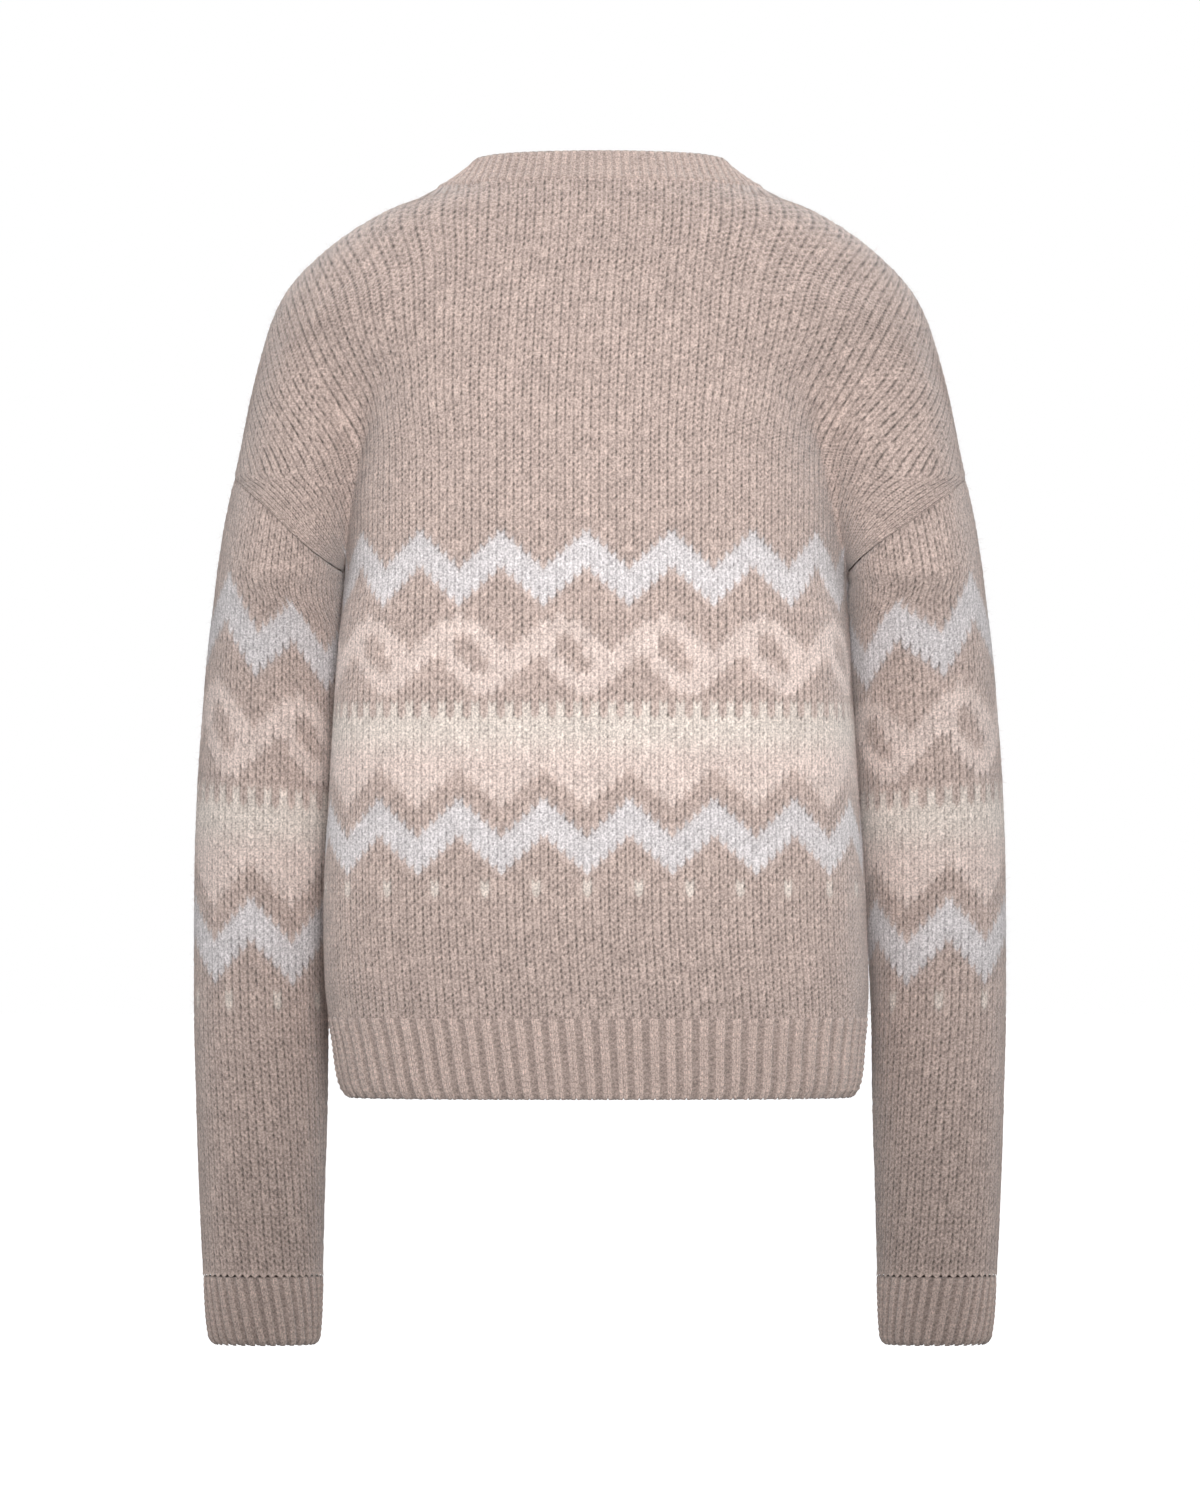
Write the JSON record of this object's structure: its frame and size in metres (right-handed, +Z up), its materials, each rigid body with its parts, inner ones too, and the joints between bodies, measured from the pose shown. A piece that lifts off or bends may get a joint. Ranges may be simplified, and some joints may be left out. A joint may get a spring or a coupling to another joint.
{
  "type": "nordic cardigan",
  "caption": "Hollow worn-form knitted cardigan with drop shoulders, ribbed hem, cuffs and neckband, buttoned front and a zigzag and diamond yoke pattern.",
  "frame": {"origin": "middle of the neck, level with the tops of the shoulders, where the wearer carries it", "axes": "+Z up, +Y towards the garment's buttoned front, +X towards the wearer's right sleeve"},
  "size_m": [0.489, 0.2528, 0.719],
  "materials": {
    "taupe_knit": "brushed stockinette knit with a soft halo",
    "taupe_rib": "two by two ribbed knit",
    "button_horn": "satin, four sewing holes"
  },
  "bodies": {
    "root": {"back": "taupe_knit", "front_left": "taupe_knit", "front_right": "taupe_knit", "sleeve_left": "taupe_knit", "sleeve_right": "taupe_knit", "hem_back": "taupe_rib", "hem_front_left": "taupe_rib", "hem_front_right": "taupe_rib", "cuff_left": "taupe_rib", "cuff_right": "taupe_rib", "neckband": "taupe_rib", "band_left": "taupe_rib", "band_right": "taupe_rib", "button_1": "button_horn", "button_2": "button_horn", "button_3": "button_horn", "button_4": "button_horn", "button_5": "button_horn", "button_6": "button_horn"}
  },
  "joints": []
}
